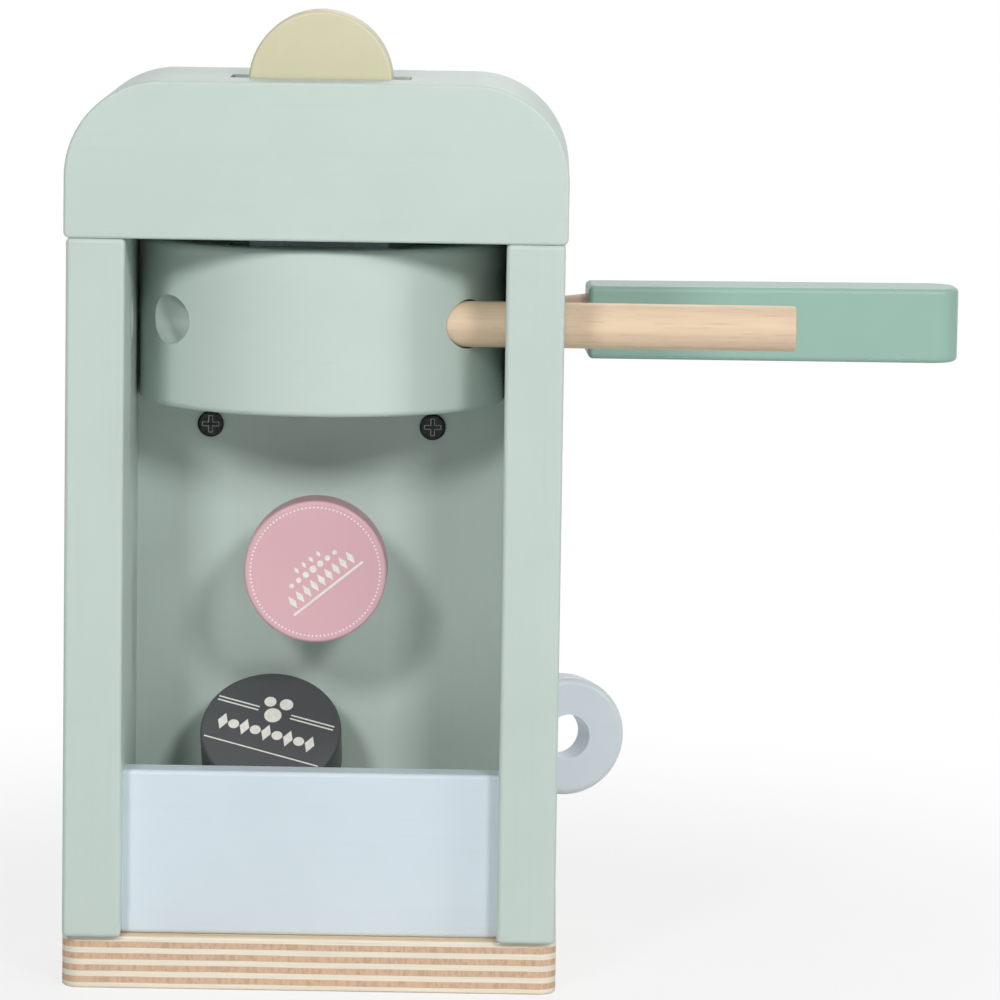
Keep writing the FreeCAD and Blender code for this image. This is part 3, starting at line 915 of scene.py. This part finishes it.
@dataclass
class Pods:
    """Round wooden pods and the prints on their faces.

    Attributes:
        yellow: Display colour of the pod in the slot and of a flat one.
        pink: Display colour of the falling pod.
        charcoal: Display colour of the leaning pod.
        blue: Display colour of the waiting pod.
        mint: Display colour of the lowest pod.
        edge_highlight_and_wear: Share of the paler tone on the edges, partly painted highlight and
            partly worn paint.
    """

    yellow: Colour = (214, 208, 177)
    pink: Colour = (221, 176, 184)
    charcoal: Colour = (79, 81, 83)
    blue: Colour = (198, 214, 224)
    mint: Colour = (190, 210, 200)
    edge_highlight_and_wear: float = 0.15

    def finishes(self) -> dict[str, Finish]:
        """Return the finish of each node."""
        upright, across = Fibres.UPRIGHT, Fibres.ACROSS
        return {
            "pod_in_slot": SprayedPaint("pod_yellow", self.yellow, upright, edge_highlight_and_wear=self.edge_highlight_and_wear),
            "pod_falling": SprayedPaint("pod_pink", self.pink, upright, edge_highlight_and_wear=self.edge_highlight_and_wear),
            "pod_bin_top": SprayedPaint("pod_charcoal", self.charcoal, upright,
                                        roughness=0.46, mottle=0.05, edge_highlight_and_wear=0.30),
            "pod_waiting": SprayedPaint("pod_blue", self.blue, upright, edge_highlight_and_wear=self.edge_highlight_and_wear),
            "pod_bin_low": SprayedPaint("pod_mint", self.mint, across, edge_highlight_and_wear=self.edge_highlight_and_wear),
            "pod_bin_mid": SprayedPaint("pod_sand", self.yellow, across, edge_highlight_and_wear=self.edge_highlight_and_wear),
        }

    def prints(self) -> list[PodPrint]:
        """Return the printed faces."""
        white = PrintInk("ink_white")
        soft = PrintInk("ink_soft", (232, 230, 222))
        grey = PrintInk("ink_grey", (120, 124, 122))
        return [
            PodPrint("pod_falling", "falling_pod", 0.0, 39.0, Motif.LOZENGE_ROW, white),
            PodPrint("pod_bin_top", "bin_pod_top", 45.0, -17.3, Motif.DOTS_AND_RULES, white,
                     ring=False),
            PodPrint("pod_waiting", "waiting_pod", 0.0, 0.0, Motif.THREE_RULES, soft),
            PodPrint("pod_bin_low", "bin_pod_low", 90.0, 12.0, Motif.THREE_RULES, soft),
            PodPrint("pod_bin_mid", "bin_pod_mid", 90.0, -31.0, Motif.THREE_RULES, grey),
        ]


@dataclass(frozen=True)
class Lamp:
    """Soft white square lamp that looks at the object.

    Attributes:
        name: Name of the lamp.
        azimuth: Degrees to the right of the camera side.
        elevation: Degrees above the horizon.
        distance: Distance from the middle of the object.
        size: Side of the square.
        power: Power in watts.
    """

    name: str
    azimuth: float
    elevation: float
    distance: float
    size: float
    power: float

    def place(self, target: Vector) -> None:
        """Make the lamp.

        Args:
            target: The point that it looks at.
        """
        data = bpy.data.lights.new(self.name, "AREA")
        data.shape = "SQUARE"
        data.size = self.size
        data.energy = self.power
        lamp = bpy.data.objects.new(self.name, data)
        turn, rise = math.radians(self.azimuth), math.radians(self.elevation)
        toward = Vector((
            math.sin(turn) * math.cos(rise), -math.cos(turn) * math.cos(rise), math.sin(rise)))
        lamp.location = target + toward * self.distance
        lamp.rotation_euler = toward.to_track_quat("Z", "Y").to_euler()
        bpy.context.scene.collection.objects.link(lamp)
        LOG.info("%s: %.1f W", self.name, self.power)


@dataclass
class Studio:
    """Pale floor, soft lamps, white surround and the camera.

    Attributes:
        eye: Place of the camera.
        yaw: Radians by which it looks left of the depth axis.
        pitch: Radians by which it looks down.
        roll: Radians by which it is turned on its own axis.
        lens: Focal length in millimetres.
        view_range: Nearest and furthest distance that it sees.
        ambient: Strength of the even light all round.
        floor_colour: Display colour of the floor.
        floor_half: Half the side of the floor.
        fade: Distances at which the floor starts and ends to fade to white.
        near_white: Share of white on the floor at the object.
        lamps: The lamps.
    """

    eye: tuple[float, float, float] = (57.54 * MM, -1607.31 * MM, 321.95 * MM)
    yaw: float = 0.006
    pitch: float = 0.124
    roll: float = 0.0151
    lens: float = 215.5
    view_range: tuple[float, float] = (0.05, 60.0)
    ambient: float = 0.10
    floor_colour: Colour = (226, 226, 226)
    floor_half: float = 14.0
    fade: tuple[float, float] = (0.09, 0.40)
    near_white: float = 0.80
    lamps: tuple[Lamp, ...] = (
        Lamp("lamp_left", -20.0, 25.0, 1.9, 0.30, 11.2),
        Lamp("lamp_right", 22.0, 25.0, 1.9, 0.30, 11.2),
        Lamp("lamp_side", 62.0, 18.0, 1.9, 0.40, 6.5),
        Lamp("lamp_over", 5.0, 75.0, 1.7, 0.9, 2.5),
        Lamp("lamp_behind", 170.0, 40.0, 1.9, 0.9, 7.0),
    )

    def camera(self) -> None:
        """Make the camera where the photograph was taken from."""
        forward = Vector((-math.sin(self.yaw), math.cos(self.yaw), 0.0))
        right = Vector((math.cos(self.yaw), math.sin(self.yaw), 0.0))
        up = Vector((0.0, 0.0, 1.0))
        look = forward * math.cos(self.pitch) - up * math.sin(self.pitch)
        above = up * math.cos(self.pitch) + forward * math.sin(self.pitch)
        side = right * math.cos(self.roll) + above * math.sin(self.roll)
        crown = above * math.cos(self.roll) - right * math.sin(self.roll)
        data = bpy.data.cameras.new("camera")
        data.lens = self.lens
        data.sensor_width = SENSOR_WIDTH
        data.clip_start, data.clip_end = self.view_range
        camera = bpy.data.objects.new("camera", data)
        turn = Matrix((side, crown, -look)).transposed().to_4x4()
        camera.matrix_world = Matrix.Translation(self.eye) @ turn
        bpy.context.scene.collection.objects.link(camera)
        bpy.context.scene.camera = camera

    def floor_material(self) -> bpy.types.Material:
        """Return the matt floor that fades to white away from the object."""
        sketch = ShaderSketch("floor_white")
        reach = sketch.vector("LENGTH", sketch.place).outputs["Value"]
        far = sketch.fit(reach, *self.fade, self.near_white, 1.0)
        share = sketch.maths("MULTIPLY", far, sketch.seen())
        cloud = sketch.speckle(Speckle(30.0))
        tone = sketch.blend(
            sketch.fit(cloud, *MIDDLE), linear(self.floor_colour), linear(self.floor_colour, 0.99))
        matt = sketch.node("ShaderNodeBsdfDiffuse", {"Color": tone}).outputs[0]
        white = sketch.node("ShaderNodeEmission", {"Color": WHITE, "Strength": 1.0}).outputs[0]
        both = sketch.node("ShaderNodeMixShader", {0: share, 1: matt, 2: white})
        sketch.node("ShaderNodeOutputMaterial", {"Surface": both.outputs[0]})
        return sketch.material

    def floor(self) -> None:
        """Make the floor, which keeps the object's shadow."""
        side = self.floor_half
        corners = [(-side, -side, 0), (side, -side, 0), (side, side, 0), (-side, side, 0)]
        mesh = bpy.data.meshes.new("floor")
        mesh.from_pydata(corners, [], [(0, 1, 2, 3)])
        mesh.materials.append(self.floor_material())
        floor = bpy.data.objects.new("floor", mesh)
        bpy.context.scene.collection.objects.link(floor)

    def surround(self) -> None:
        """Set the even light all round, and the white that the camera sees behind the object."""
        world = bpy.data.worlds.new("surround")
        bpy.context.scene.world = world
        world.use_nodes = True
        sketch = TreeSketch(world.node_tree)
        even, white = (
            sketch.node("ShaderNodeBackground", {"Color": WHITE, "Strength": strength}).outputs[0]
            for strength in (self.ambient, 1.0))
        both = sketch.node("ShaderNodeMixShader", {0: sketch.seen(), 1: even, 2: white})
        sketch.node("ShaderNodeOutputWorld", {"Surface": both.outputs[0]})

    def build(self) -> None:
        """Set up the whole studio."""
        bpy.context.scene.view_settings.view_transform = "Standard"
        self.camera()
        self.floor()
        self.surround()
        middle = (CAD_BOX[0] + CAD_BOX[1]) / 2
        for lamp in self.lamps:
            lamp.place(middle)


def dress(finishes: dict[str, Finish], made: dict[str, bpy.types.Material]) -> None:
    """Give each node its finish.

    Args:
        finishes: Finish by node.
        made: Materials already made, by the finish's name.
    """
    for name, finish in finishes.items():
        if finish.name not in made:
            made[finish.name] = finish.material()
        slots = frame["nodes"][name].data.materials
        slots.clear()
        slots.append(made[finish.name])
        LOG.info("%s: %s", name, finish.name)


def clear_start() -> None:
    """Remove the start-up objects that are not part of the frame."""
    keep = set(frame["nodes"].values()) | set(frame["bodies"].values())
    for thing in list(bpy.data.objects):
        if thing not in keep:
            bpy.data.objects.remove(thing)


def main() -> None:
    """Dress the object, print the pods and set up the studio."""
    logging.basicConfig(level=logging.INFO, format="%(name)s %(message)s")
    clear_start()
    Studio().build()
    made: dict[str, bpy.types.Material] = {}
    pods = Pods()
    assemblies: tuple[Assembly, ...] = (Cabinet(), Handles(), Cup(), pods)
    for assembly in assemblies:
        dress(assembly.finishes(), made)
    tree = DotRingTree()
    for pod_print in pods.prints():
        pod_print.build(tree)


if __name__ == "__main__":
    main()
